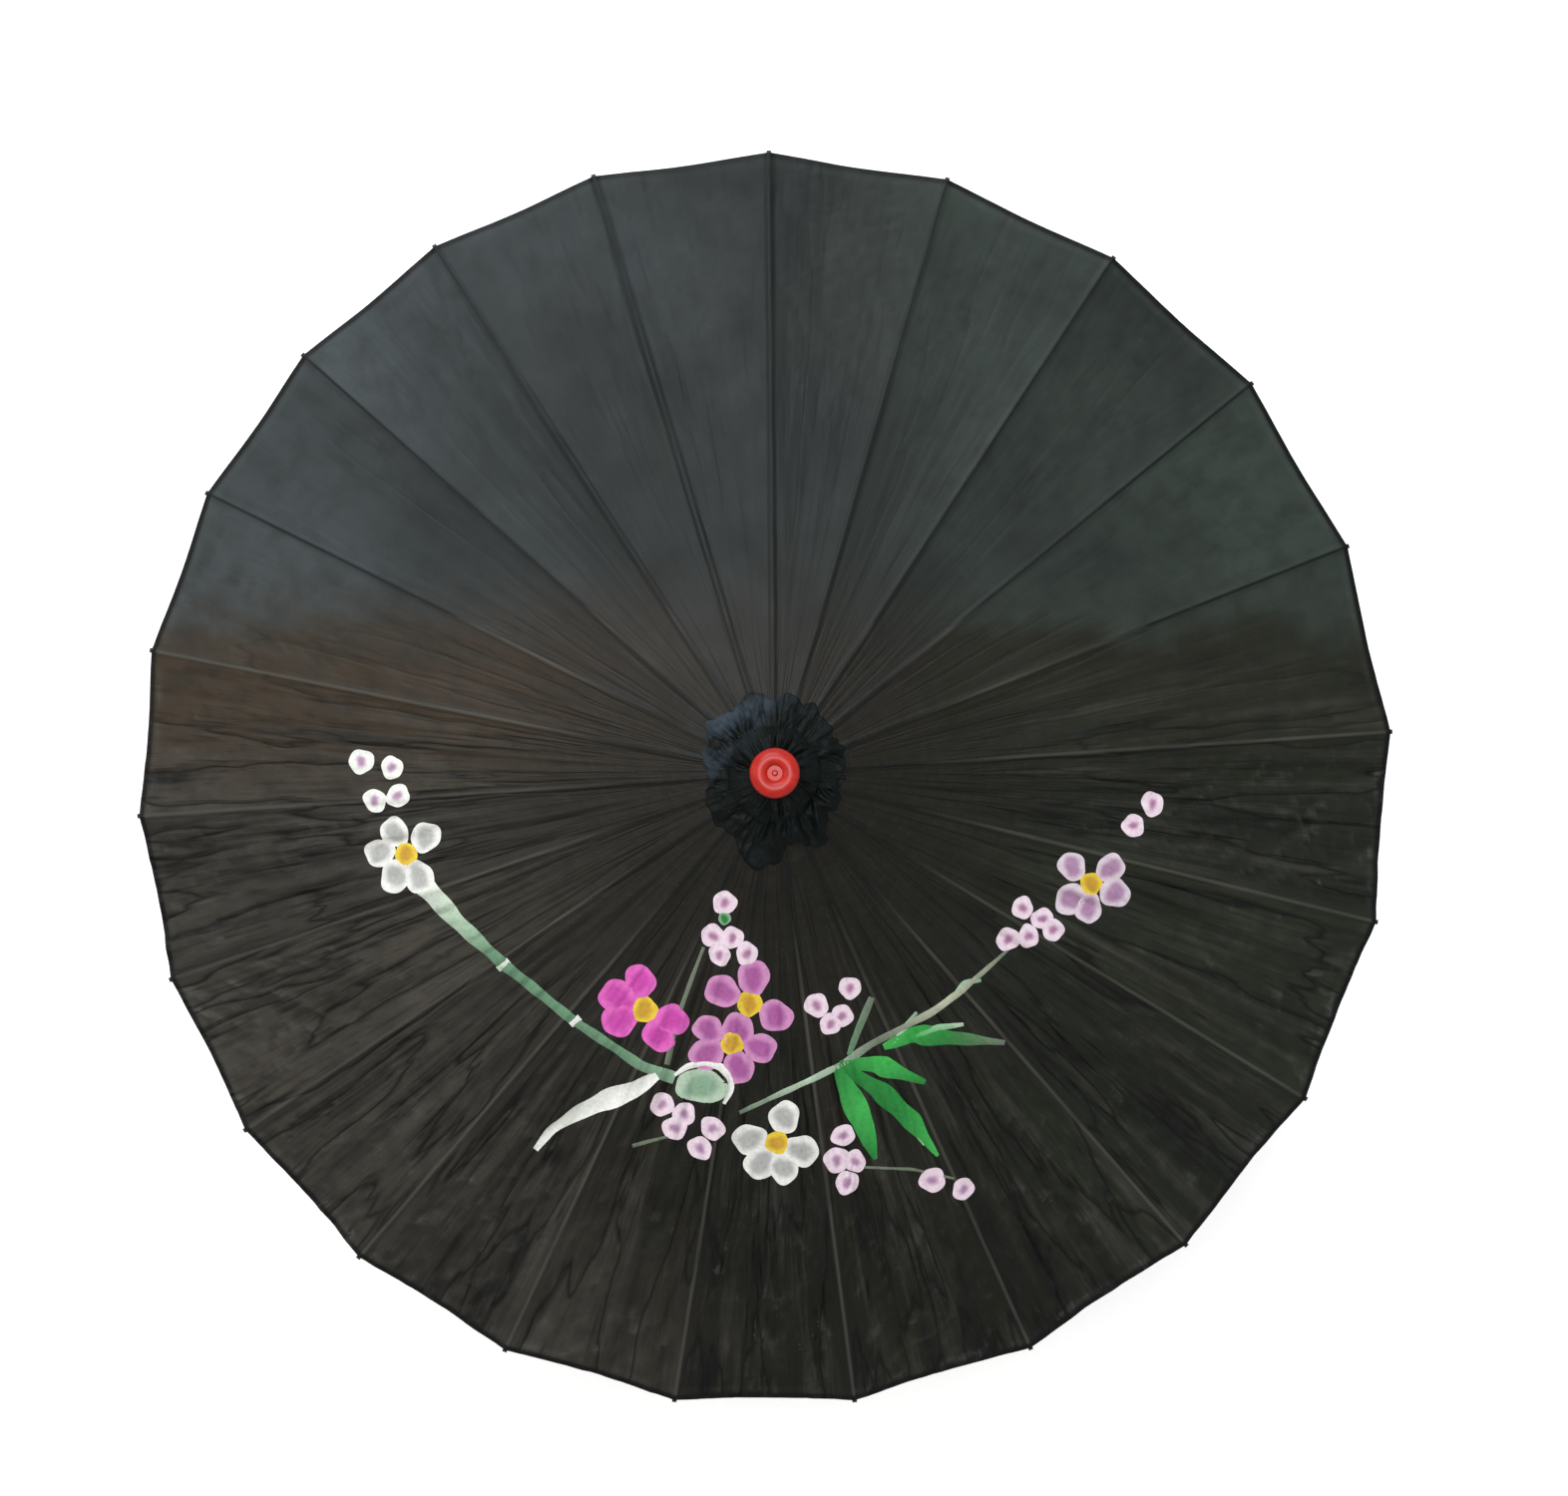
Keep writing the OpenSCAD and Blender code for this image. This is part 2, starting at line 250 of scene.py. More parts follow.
class Nodes:
    """Short names for the shader nodes that the materials use."""

    def __init__(self, tree, shader):
        self.tree = tree
        self.shader = shader
        self.place = self.add("ShaderNodeTexCoord").outputs["Object"]

    def add(self, kind, **settings):
        node = self.tree.nodes.new(kind)
        for key, value in settings.items():
            setattr(node, key, value)
        return node

    def link(self, source, socket):
        if hasattr(source, "links"):
            self.tree.links.new(source, socket)
        else:
            socket.default_value = source
        return socket

    def math(self, operation, *values):
        node = self.add("ShaderNodeMath", operation=operation)
        for value, socket in zip(values, node.inputs):
            self.link(value, socket)
        return node.outputs[0]

    def scaled(self, x, y, z):
        """Object coordinates multiplied along each axis."""
        node = self.add("ShaderNodeMapping")
        self.link(self.place, node.inputs["Vector"])
        node.inputs["Scale"].default_value = (x, y, z)
        return node.outputs[0]

    def noise(self, vector, scale, detail=4.0, roughness=0.55):
        node = self.add("ShaderNodeTexNoise")
        self.link(vector, node.inputs["Vector"])
        node.inputs["Scale"].default_value = scale
        node.inputs["Detail"].default_value = detail
        node.inputs["Roughness"].default_value = roughness
        return node.outputs["Fac"]

    def ramp(self, value, *stops):
        """A colour ramp. stops are (position, colour)."""
        node = self.add("ShaderNodeValToRGB")
        self.link(value, node.inputs[0])
        ends = node.color_ramp.elements
        while len(ends) < len(stops):
            ends.new(0.5)
        for end, (position, colour) in zip(ends, stops):
            end.position = position
            end.color = (*colour, 1)
        return node.outputs[0]

    def spread(self, value, low, high, to_low=0.0, to_high=1.0):
        """A value from low to high, spread evenly from to_low to to_high and held at the ends."""
        node = self.add("ShaderNodeMapRange")
        for key, amount in (("Value", value), ("From Min", low), ("From Max", high),
                            ("To Min", to_low), ("To Max", to_high)):
            self.link(amount, node.inputs[key])
        return node.outputs[0]

    def mix(self, factor, a, b, blend="MIX"):
        node = self.add("ShaderNodeMix", data_type="RGBA", blend_type=blend)
        self.link(factor, node.inputs["Factor"])
        self.link(a if hasattr(a, "links") else (*a, 1), node.inputs[6])
        self.link(b if hasattr(b, "links") else (*b, 1), node.inputs[7])
        return node.outputs[2]

    def attribute(self, name, output="Fac"):
        return self.add("ShaderNodeAttribute", attribute_name=name).outputs[output]

    def polar(self, turns, along):
        """Coordinates that run round and out from the stick, for grain that follows the ribs."""
        split = self.add("ShaderNodeSeparateXYZ")
        self.link(self.place, split.inputs[0])
        x, y, z = split.outputs
        r = self.math("SQRT", self.math("ADD", self.math("MULTIPLY", x, x), self.math("MULTIPLY", y, y)))
        joined = self.add("ShaderNodeCombineXYZ")
        self.link(self.math("MULTIPLY", self.math("DIVIDE", x, r), turns), joined.inputs[0])
        self.link(self.math("MULTIPLY", self.math("DIVIDE", y, r), turns), joined.inputs[1])
        self.link(self.math("MULTIPLY", r, along), joined.inputs[2])
        return joined.outputs[0]

    def colour(self, source):
        self.link(source, self.shader.inputs["Base Color"])

    def rough(self, source):
        self.link(source, self.shader.inputs["Roughness"])

    def bump(self, *layers):
        """layers are (height, distance in metres), the coarsest first."""
        normal = None
        for height, distance in layers:
            node = self.add("ShaderNodeBump")
            node.inputs["Strength"].default_value = 1.0
            node.inputs["Distance"].default_value = distance
            self.link(height, node.inputs["Height"])
            if normal:
                self.link(normal, node.inputs["Normal"])
            normal = node.outputs[0]
        self.link(normal, self.shader.inputs["Normal"])


# ---------------------------------------------------------------- materials

def weave(n, pitch):
    """A plain weave's height, 0 to 1, with threads pitch apart in X and Y."""
    split = n.add("ShaderNodeSeparateXYZ")
    n.link(n.place, split.inputs[0])
    turn = 2 * math.pi / pitch
    warp = n.math("SINE", n.math("MULTIPLY", split.outputs[0], turn))
    weft = n.math("SINE", n.math("MULTIPLY", split.outputs[1], turn))
    return n.math("MULTIPLY_ADD", n.math("MULTIPLY", warp, weft), 0.5, 0.5)


def cloth_tone(n, x, y, above, streak):
    """Painted reflections: browner left, greener right, a grey sheen toward +Y and a brown band under it."""
    brown, black, olive = (0.042, 0.037, 0.029), (0.009, 0.008, 0.004), (0.015, 0.018, 0.010)
    grey, ink, green = (0.046, 0.056, 0.059), (0.005, 0.007, 0.006), (0.031, 0.042, 0.034)
    patches = n.spread(n.noise(n.place, 5.0, 2.0), 0.3, 0.7, -0.16, 0.16)
    sideways = n.math("ADD", n.spread(x, -0.4, 0.4), patches)
    # painted reflections: browner to the left, darkest in the middle, greener to the right
    lower = n.ramp(sideways, (0.1, brown), (0.5, black), (0.95, olive))
    # painted sheen toward +Y: grey to the left, dark in the middle, green to the right
    upper = n.ramp(sideways, (0.0, grey), (0.45, ink), (0.8, green))
    # a brown band of painted warm reflection under the sheen, strongest toward -X
    band = n.spread(n.math("ABSOLUTE", n.math("SUBTRACT", y, 0.055)), 0.015, 0.08, 1.0, 0.0)
    leftward = n.spread(x, 0.10, -0.12, 0.15, 0.9)
    warm_reflection = n.math("MULTIPLY", n.math("MULTIPLY", band, leftward), n.spread(streak, 0.25, 0.62, 0.3, 1.0))
    return n.mix(warm_reflection, n.mix(above, lower, upper), (0.038, 0.023, 0.011))


def cloth_look(n):
    """Thin dark oiled cloth: tight toward +Y with painted shadow on the ribs; slack, creased, with painted
    sheen opposite.
    """
    split = n.add("ShaderNodeSeparateXYZ")
    n.link(n.place, split.inputs[0])
    x, y = split.outputs[0], split.outputs[1]
    square = n.math("ADD", n.math("MULTIPLY", x, x), n.math("MULTIPLY", y, y))
    ragged = n.math("ADD", y, n.spread(n.noise(n.place, 16.0, 4.0), 0.3, 0.7, -0.015, 0.015))
    above = n.spread(ragged, 0.082, 0.106)
    loose = n.spread(ragged, 0.11, 0.0, 0.10, 1.0)
    streak = n.noise(n.polar(26.0, 6.0), 1.0, 5.0, 0.62)
    streaky = n.math("MULTIPLY", loose, n.spread(square, 0.002, 0.05, 0.15, 1.0))
    # no two gores took the oil alike
    oiled = n.spread(n.attribute("gore"), -1.0, 1.0, 0.0, 0.34)
    tone = n.mix(oiled, cloth_tone(n, x, y, above, streak), (0.004, 0.005, 0.004))
    # painted sheen in pale streaks and painted shade in dark streaks along the ribs, for the wrinkles
    sheen_streak = n.math("MULTIPLY", n.spread(streak, 0.52, 0.72, 0.0, 0.65), streaky)
    sheen_streaked = n.mix(sheen_streak, tone, (0.052, 0.049, 0.041))
    shade = n.math("MULTIPLY", n.spread(streak, 0.46, 0.30, 0.0, 0.9), streaky)
    shaded = n.mix(shade, sheen_streaked, (0.003, 0.003, 0.003))
    mottle = n.spread(n.noise(n.place, 60.0, 5.0), 0.42, 0.7, 0.0, 0.4)
    mottled = n.mix(mottle, shaded, (0.009, 0.010, 0.009))
    # darker toward the crown
    darker_inward = n.mix(n.spread(square, 0.0, 0.035, 0.75, 0.0), mottled, (0.005, 0.004, 0.002))
    # painted shade: sharp dark lines in the creases where the cloth is loose
    fold = n.math("ABSOLUTE", n.math("SUBTRACT", n.noise(n.polar(11.0, 5.0), 1.0, 3.0, 0.5), 0.5))
    crease_shade = n.math("MULTIPLY", n.spread(fold, 0.0, 0.020, 0.85, 0.0), streaky)
    crease_shaded = n.mix(crease_shade, darker_inward, (0.002, 0.002, 0.002))
    # painted shadow as dark rib lines on the tight side and at the crown, painted highlight as pale rib lines
    # on the loose side
    on_rib = n.spread(n.attribute("rib"), 0.0004, 0.0016, 1.0, 0.0)
    shadow_line_mask = n.math("MAXIMUM", above, n.spread(square, 0.008, 0.024, 1.0, 0.0))
    line = n.mix(shadow_line_mask, (0.055, 0.052, 0.043), (0.002, 0.003, 0.003))
    drawn = n.math("MAXIMUM", n.spread(streak, 0.3, 0.6, 0.3, 0.95), n.math("MULTIPLY", shadow_line_mask, 0.92))
    lined = n.mix(n.math("MULTIPLY", on_rib, drawn), crease_shaded, line)
    hem = n.spread(n.attribute("rim"), 0.0024, 0.0042, 0.97, 0.0)
    hemmed = n.mix(hem, lined, (0.002, 0.002, 0.002))
    inner = n.attribute("inner")
    n.colour(n.mix(inner, hemmed, (0.030, 0.027, 0.022)))
    n.rough(n.spread(n.math("ADD", n.noise(n.place, 34.0, 4.0), inner), 0.3, 1.3, 0.36, 0.72))
    pulled = n.math("MULTIPLY", n.noise(n.polar(40.0, 7.0), 1.0, 3.0), streaky)
    crumpled = n.math("MULTIPLY", n.noise(n.place, 90.0, 4.0), loose)
    pinched = n.math("MULTIPLY", n.spread(fold, 0.0, 0.06), streaky)
    n.bump((pulled, 0.0020), (pinched, 0.0014), (crumpled, 0.0007), (weave(n, THREAD), 0.00006))


def cover_look(n):
    """The same cloth where it is gathered and new: blacker, with a painted blue highlight toward -X and +Y.
    """
    split = n.add("ShaderNodeSeparateXYZ")
    n.link(n.place, split.inputs[0])
    toward = n.math("SUBTRACT", split.outputs[1], split.outputs[0])
    cloud = n.noise(n.place, 70.0, 4.0)
    black = n.ramp(cloud, (0.3, (0.001, 0.002, 0.001)), (0.8, (0.004, 0.007, 0.007)))
    # painted highlight, bluish, toward -X and +Y
    blue_highlight = n.math("MULTIPLY", n.spread(toward, 0.030, 0.052), n.spread(cloud, 0.35, 0.6))
    n.colour(n.mix(blue_highlight, black, (0.030, 0.042, 0.055)))
    n.rough(n.spread(cloud, 0.3, 0.8, 0.42, 0.6))
    n.bump((n.noise(n.polar(9.0, 60.0), 1.0, 3.0), 0.0016), (n.noise(n.place, 330.0, 3.0), 0.0003),
           (weave(n, THREAD), 0.00006))


def bamboo_look(n):
    """Split bamboo, its fibres along each piece, with the rib tips dipped in black."""
    fibres = n.noise(n.polar(420.0, 8.0), 1.0, 4.0, 0.6)
    tone = n.ramp(fibres, (0.3, (0.46, 0.30, 0.14)), (0.6, (0.66, 0.47, 0.24)), (0.8, (0.76, 0.58, 0.33)))
    stain = n.spread(n.noise(n.place, 28.0, 3.0), 0.5, 0.75, 0.0, 0.4)
    stained = n.mix(stain, tone, (0.30, 0.18, 0.08))
    out = n.add("ShaderNodeSeparateXYZ")
    n.link(n.polar(1.0, 1.0), out.inputs[0])
    dipped = n.spread(out.outputs[2], CLOTH_R_OUT - 0.005, CLOTH_R_OUT - 0.003)
    n.colour(n.mix(dipped, stained, (0.012, 0.010, 0.008)))
    n.rough(n.spread(fibres, 0.3, 0.8, 0.38, 0.6))
    n.bump((fibres, 0.00025))


def stick_look(n):
    grain = n.noise(n.scaled(420, 420, 9), 1.0, 5.0, 0.6)
    dark, brown, tan = (0.045, 0.017, 0.008), (0.12, 0.048, 0.020), (0.20, 0.085, 0.036)
    tone = n.ramp(grain, (0.3, dark), (0.55, brown), (0.8, tan))
    worn = n.spread(n.noise(n.place, 22.0, 4.0), 0.55, 0.8, 0.0, 0.5)
    n.colour(n.mix(worn, tone, (0.26, 0.13, 0.06)))
    n.rough(n.spread(grain, 0.3, 0.8, 0.25, 0.45))
    n.bump((grain, 0.0002))


def turned_look(n):
    grain = n.noise(n.scaled(260, 260, 14), 1.0, 5.0, 0.6)
    tone = n.ramp(grain, (0.3, (0.33, 0.19, 0.085)), (0.6, (0.52, 0.33, 0.16)), (0.8, (0.62, 0.43, 0.23)))
    rings = n.noise(n.scaled(3, 3, 900), 1.0, 2.0)
    n.colour(n.mix(n.spread(rings, 0.5, 0.8, 0.0, 0.35), tone, (0.24, 0.13, 0.055)))
    n.rough(n.spread(grain, 0.3, 0.8, 0.35, 0.55))
    n.bump((grain, 0.0002), (rings, 0.0001))


def lacquer_look(n):
    cloud = n.noise(n.place, 160.0, 4.0)
    deep, red, orange = (0.34, 0.008, 0.005), (0.44, 0.014, 0.007), (0.52, 0.032, 0.011)
    tone = n.ramp(cloud, (0.3, deep), (0.6, red), (0.85, orange))
    scuff = n.spread(n.noise(n.place, 700.0, 6.0, 0.7), 0.62, 0.78, 0.0, 0.5)
    n.colour(n.mix(scuff, tone, (0.30, 0.012, 0.008)))
    n.rough(n.spread(cloud, 0.2, 0.8, 0.34, 0.5))
    n.bump((cloud, 0.00015))


def metal_look(n):
    draw = n.noise(n.place, 900.0, 3.0)
    n.colour(n.ramp(draw, (0.3, (0.20, 0.17, 0.13)), (0.7, (0.46, 0.42, 0.35))))
    n.rough(n.spread(draw, 0.3, 0.7, 0.3, 0.55))
    n.bump((draw, 0.00005))


def paint_look(n):
    strokes = n.noise(n.place, 420.0, 5.0, 0.6)
    shade = n.spread(strokes, 0.3, 0.75, 0.78, 1.06)
    thin = n.spread(n.noise(n.place, 210.0, 5.0, 0.65), 0.60, 0.78, 0.0, 0.35)
    grey = n.ramp(shade, (0.0, (0, 0, 0)), (1.0, (1, 1, 1)))
    lit = n.mix(1.0, n.attribute("paint", "Color"), grey, "MULTIPLY")
    n.colour(n.mix(thin, lit, (0.10, 0.10, 0.085)))
    n.rough(n.spread(strokes, 0.3, 0.7, 0.5, 0.7))
    n.bump((strokes, 0.0002), (weave(n, THREAD), 0.00004))


CLOTH = material("oiled_cloth", (0.02, 0.02, 0.016), 0.5, cloth_look, Specular_IOR_Level=0.22)
BAMBOO = material("bamboo", (0.6, 0.42, 0.2), 0.5, bamboo_look)
STICK = material("stick_wood", (0.12, 0.05, 0.02), 0.35, stick_look, Coat_Weight=0.5, Coat_Roughness=0.15)
TURNED = material("turned_wood", (0.5, 0.33, 0.16), 0.45, turned_look, Coat_Weight=0.2, Coat_Roughness=0.25)
LACQUER = material("red_lacquer", (0.6, 0.03, 0.015), 0.4, lacquer_look, Coat_Weight=0.12, Coat_Roughness=0.3,
                   Specular_IOR_Level=0.3)
METAL = material("drawn_wire", (0.4, 0.36, 0.3), 0.4, metal_look, Metallic=1.0)
COVER = material("gathered_cloth", (0.005, 0.01, 0.01), 0.4, cover_look, Specular_IOR_Level=0.12)
PAINT = material("brushed_paint", (0.8, 0.8, 0.8), 0.6, paint_look)


def dress_frame():
    """Puts a material on every CAD node that stays shown."""
    looks = {"shaft": STICK, "top_hub": TURNED, "runner": TURNED, "finial": LACQUER, "finial_pin": LACQUER,
             "hub_wire": METAL, "runner_wire": METAL, "catch": METAL, "catch_pin": METAL}
    for name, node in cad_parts.items():
        node.data.materials.clear()
        node.data.materials.append(looks.get(name, BAMBOO))


# ---------------------------------------------------------------- the canopy

def half_angle(k, side):
    """Half the angle from rib k to its neighbour on that side, +1 or -1."""
    gap = (RIBS[(k + side) % RIB_COUNT] - RIBS[k]) * side
    return (gap % (2 * math.pi)) / 2


def rib_frame(k):
    out = direction(RIBS[k])
    return out, np.array([-out[1], out[0]])


def strip_points(k, right, left):
    """Plan points of the grid of the strip on rib k, and how far each is from the rim."""
    out, across = rib_frame(k)
    base = np.linspace(-STRIP_W, STRIP_W, STRIP_COLUMNS)
    last = CLOTH_R_OUT - np.abs(base) * np.where(base > 0, np.tan(left), np.tan(right))
    r = CLOTH_R_IN + np.linspace(0, 1, ROWS)[:, None] * (last - CLOTH_R_IN)
    xy = r[..., None] * out + base[:, None] * across
    return xy.reshape(-1, 2), (last - r).ravel()


def panel_points(k, side, half):
    """Plan points of the grid of a panel from rib k's strip to mid-gore, and how far each is from the rim."""
    out, across = rib_frame(k)
    q = np.linspace(0, 1, COLUMNS) ** 1.25
    base, slope = STRIP_W * (1 - q), q * math.tan(half)      # a column is base + slope r from the rib
    scallop = RIM_SCALLOP * smooth(0, 1, q) / math.cos(half)
    last = (CLOTH_R_OUT - scallop - base * math.tan(half)) / (1 + slope * math.tan(half))
    r = CLOTH_R_IN + np.linspace(0, 1, ROWS)[:, None] * (last - CLOTH_R_IN)
    xy = r[..., None] * out + side * (base + slope * r)[..., None] * across
    return xy.reshape(-1, 2), (last - r).ravel()


def cloth_piece(name, xy, rim, columns, flip):
    """A closed piece of cloth over the plan points, with the true surface's normals."""
    top = np.c_[xy, cloth_height(xy)]
    up = cloth_normals(xy)
    low = top - up * CLOTH_T
    points = np.r_[top, low]
    floats = {"rim": np.tile(rim, 2), "rib": np.tile(rib_distance(xy), 2),
              "gore": np.tile(np.sin(gore_of(xy)[0] * 2.4), 2), "inner": np.repeat([0, 1], len(top))}
    made = new_object(name, points, closed_sheet(ROWS, columns, flip), CLOTH, np.r_[up, -up], floats)
    return made


def fold_panel(piece, k, side, half):
    """Gives the piece a mesh of its own."""
    out, across = rib_frame(k)
    foot = np.r_[out * 0.2 + side * STRIP_W * across, 0]
    foot[2] = flat_height(foot[None, :2])[0]
    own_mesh(piece)


def build_canopy():
    """Returns {(k, side): piece} for the panels and {(k, 0): piece} for the strips."""
    pieces = {}
    for k in range(RIB_COUNT):
        body = f"rib_{k + 1:02d}"
        halves = half_angle(k, -1), half_angle(k, 1)
        xy, rim = strip_points(k, *halves)
        strip = cloth_piece(f"canopy_strip_{k + 1:02d}", xy, rim, STRIP_COLUMNS, True)
        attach(strip, body)
        pieces[k, 0] = strip
        for side, word, half in ((-1, "right", halves[0]), (1, "left", halves[1])):
            xy, rim = panel_points(k, side, half)
            panel = cloth_piece(f"canopy_panel_{k + 1:02d}_{word}", xy, rim, COLUMNS, side > 0)
            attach(panel, body)
            fold_panel(panel, k, side, half)
            pieces[k, side] = panel
    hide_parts("canopy")
    return pieces


# ---------------------------------------------------------------- the painting

WHITE, BONE, ASH = (0.80, 0.79, 0.74), (0.56, 0.57, 0.51), (0.42, 0.42, 0.40)
BLUSH, ROSE = (0.80, 0.64, 0.72), (0.42, 0.18, 0.32)
LILAC, MAUVE = (0.70, 0.58, 0.64), (0.40, 0.22, 0.36)
PINK, PURPLE = (0.60, 0.25, 0.48), (0.38, 0.09, 0.30)
MAGENTA, CERISE = (0.72, 0.12, 0.48), (0.55, 0.05, 0.36)
YELLOW, OCHRE = (0.78, 0.55, 0.03), (0.55, 0.30, 0.02)
GREEN, LEAF, LIME = (0.11, 0.23, 0.13), (0.004, 0.19, 0.022), (0.035, 0.38, 0.06)
SAGE, PALE, MINT = (0.13, 0.16, 0.11), (0.42, 0.54, 0.40), (0.22, 0.36, 0.24)
FRESH, STRAW = (0.20, 0.54, 0.21), (0.44, 0.46, 0.33)


class Painting:
    """Dabs and strokes of paint in plan coordinates, in mm from the stick, each laid over the ones before."""

    def __init__(self):
        self.points, self.colours, self.lifts, self.faces = [], [], [], []
        self.count, self.coat, self.layer = 0, 0.0, 0
        self.random = np.random.default_rng(SEED)

    def start_coat(self, height):
        """Everything laid from here on stands at least this far off the cloth, over the coats before."""
        self.coat = height
        self.layer = 0

    def lay(self, xy, colours, rows, columns, rim):
        """Adds one grid of paint. rim marks the points that are pulled down to the cloth."""
        lift = self.coat + PAINT_STEP * self.layer
        self.points.append(np.asarray(xy) / 1000)
        self.colours.append(np.asarray(colours))
        self.lifts.append(np.where(rim, PAINT_EDGE, lift))
        self.faces += grid_faces(rows, columns, self.count)
        self.count += rows * columns
        self.layer = (self.layer + 1) % PAINT_STEPS

    def dab(self, x, y, r, edge, middle, squeeze=1.0, turn=0.0, eye=0.64):
        """A round dab of the brush, one colour at its edge and another in its middle, out to eye x r."""
        rings, spokes = 9, 37
        angle = np.linspace(0, 2 * np.pi, spokes)
        a, b = self.random.uniform(0, 2 * np.pi, 2)
        wobble = 1 + 0.05 * np.sin(3 * angle + a) + 0.035 * np.sin(5 * angle + b)
        t = np.linspace(0.02, 1, rings)[:, None]
        reach = r * t * wobble
        u, v = reach * np.cos(angle), squeeze * reach * np.sin(angle)
        c, s = math.cos(turn), math.sin(turn)
        xy = np.stack([x + u * c - v * s, y + u * s + v * c], -1)
        swirl = smooth(eye + 0.22, eye - 0.22, t + 0.15 * eye * np.sin(2 * angle + a))[..., None]
        colours = np.array(edge) * (1 - swirl) + np.array(middle) * swirl
        rim = np.broadcast_to(t > 0.999, (rings, spokes)).ravel()
        self.lay(xy[:, ::-1].reshape(-1, 2), colours[:, ::-1].reshape(-1, 3), rings, spokes, rim)

    def blossom(self, x, y, r, petals, edge, middle):
        """Round petals at the given directions, in degrees, and a yellow eye."""
        self.layer = 0
        for degrees in petals:
            far = r * self.random.uniform(0.95, 1.1)
            turn = math.radians(degrees)
            size = r * self.random.uniform(0.60, 0.70)
            self.dab(x + far * math.cos(turn), y + far * math.sin(turn), size, edge, middle, 0.88, turn)
        self.dab(x, y, r * 0.46, YELLOW, OCHRE)

    def buds(self, places, r, edge, middle):
        for x, y in places:
            size = r * self.random.uniform(0.92, 1.1)
            squeeze, turn = self.random.uniform(0.86, 1.0), self.random.uniform(0, 3)
            self.dab(x, y, size, edge, middle, squeeze, turn, 0.38)

    def stroke(self, places, widths, colours):
        """A brush stroke through places, its width and colour changing evenly along it."""
        places = np.array(places, float)
        steps = np.cumsum(np.r_[0, np.hypot(*np.diff(places, axis=0).T)])
        count = max(8, int(steps[-1] / 1.4))
        t = np.linspace(0, steps[-1], count)
        line = np.c_[np.interp(t, steps, places[:, 0]), np.interp(t, steps, places[:, 1])]
        for _ in range(4):
            line[1:-1] = (line[:-2] + 2 * line[1:-1] + line[2:]) / 4
        ahead = np.gradient(line, axis=0)
        ahead /= np.linalg.norm(ahead, axis=1, keepdims=True)
        aside = np.c_[-ahead[:, 1], ahead[:, 0]]
        share = t / steps[-1]
        width = np.interp(share, np.linspace(0, 1, len(widths)), widths)
        width = width * (1 + 0.08 * np.sin(t / 4.0))
        shade = np.array([np.interp(share, np.linspace(0, 1, len(colours)), c) for c in zip(*colours)]).T
        across = np.linspace(-0.5, 0.5, max(6, math.ceil(max(widths) / 1.4)))
        xy = line[:, None] + aside[:, None] * (width[:, None] * across)[..., None]
        light = 1 + 0.35 * across
        shades = np.clip(shade[:, None] * light[:, None], 0, 1)
        rim = np.tile(np.abs(across) > 0.49, count)
        self.lay(xy[:, ::-1].reshape(-1, 2), shades[:, ::-1].reshape(-1, 3), count, len(across), rim)


